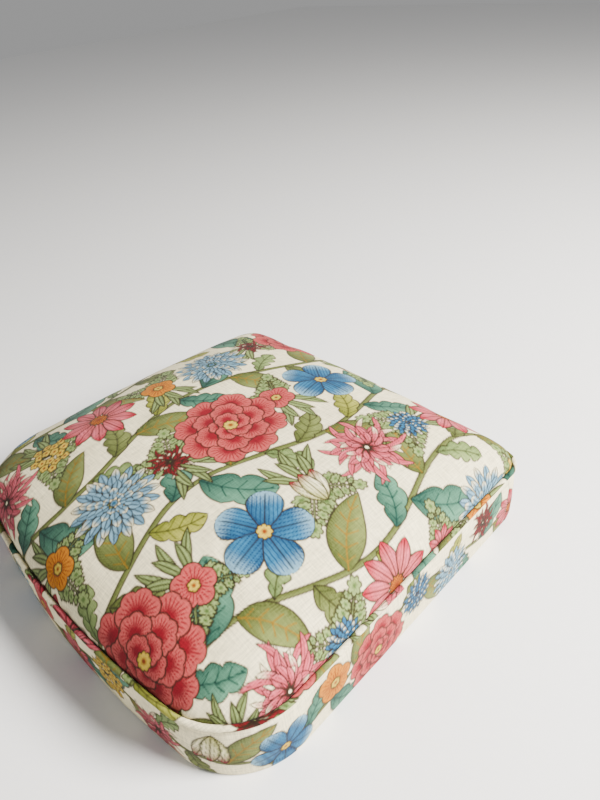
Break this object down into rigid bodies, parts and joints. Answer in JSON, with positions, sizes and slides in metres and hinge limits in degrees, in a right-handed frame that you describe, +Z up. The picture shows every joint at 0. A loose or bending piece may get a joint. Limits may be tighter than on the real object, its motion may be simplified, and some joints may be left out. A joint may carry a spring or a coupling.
{
  "type": "chair seat pad",
  "caption": "Crowned, piped and fabric-covered seat pad on a webbed timber frame, which bolts to a chair base from below.",
  "frame": {"origin": "centre of the seat's underside, at the middle of its width and of its depth", "axes": "+Z up, -Y towards the bowed front edge, +X towards the right-hand side as seen from the front"},
  "size_m": [0.5424, 0.5159, 0.162],
  "materials": {
    "beech": "planed, unfinished",
    "dowel_beech": "turned, glued in",
    "screw_steel": "yellow zinc plated",
    "zinc_steel": "bright zinc plated",
    "staple_wire": "galvanised wire",
    "jute_webbing": "woven jute, herringbone",
    "hessian": "open plain-weave jute",
    "foam": "open-cell polyurethane foam",
    "wadding": "polyester wadding",
    "calico": "plain-weave cotton",
    "cotton_cord": "twisted cotton piping cord",
    "dust_cloth": "black non-woven cloth",
    "printed_linen": null,
    "piping_linen": "the same linen cut on the bias"
  },
  "bodies": {
    "root": {"border_front_and_sides": "printed_linen", "border_rear": "printed_linen", "border_wadding": "wadding", "bottom_cloth": "dust_cloth", "bottom_cloth_staples": "staple_wire", "calico_undercover": "calico", "corner_block_front_left": "beech", "corner_block_front_right": "beech", "corner_block_rear_left": "beech", "corner_block_rear_right": "beech", "corner_block_screws": "screw_steel", "cover_staples": "staple_wire", "foam_pad": "foam", "front_rail": "beech", "hessian_cloth": "hessian", "hessian_staples": "staple_wire", "left_rail": "beech", "piping_cord": "cotton_cord", "piping_cover": "piping_linen", "rail_dowels": "dowel_beech", "rear_rail": "beech", "right_rail": "beech", "t_nuts": "zinc_steel", "top_panel": "printed_linen", "wadding_wrap": "wadding", "webbing_cross_1": "jute_webbing", "webbing_cross_2": "jute_webbing", "webbing_cross_3": "jute_webbing", "webbing_cross_4": "jute_webbing", "webbing_cross_5": "jute_webbing", "webbing_long_1": "jute_webbing", "webbing_long_2": "jute_webbing", "webbing_long_3": "jute_webbing", "webbing_long_4": "jute_webbing", "webbing_long_5": "jute_webbing", "webbing_staples": "staple_wire"}
  },
  "joints": []
}
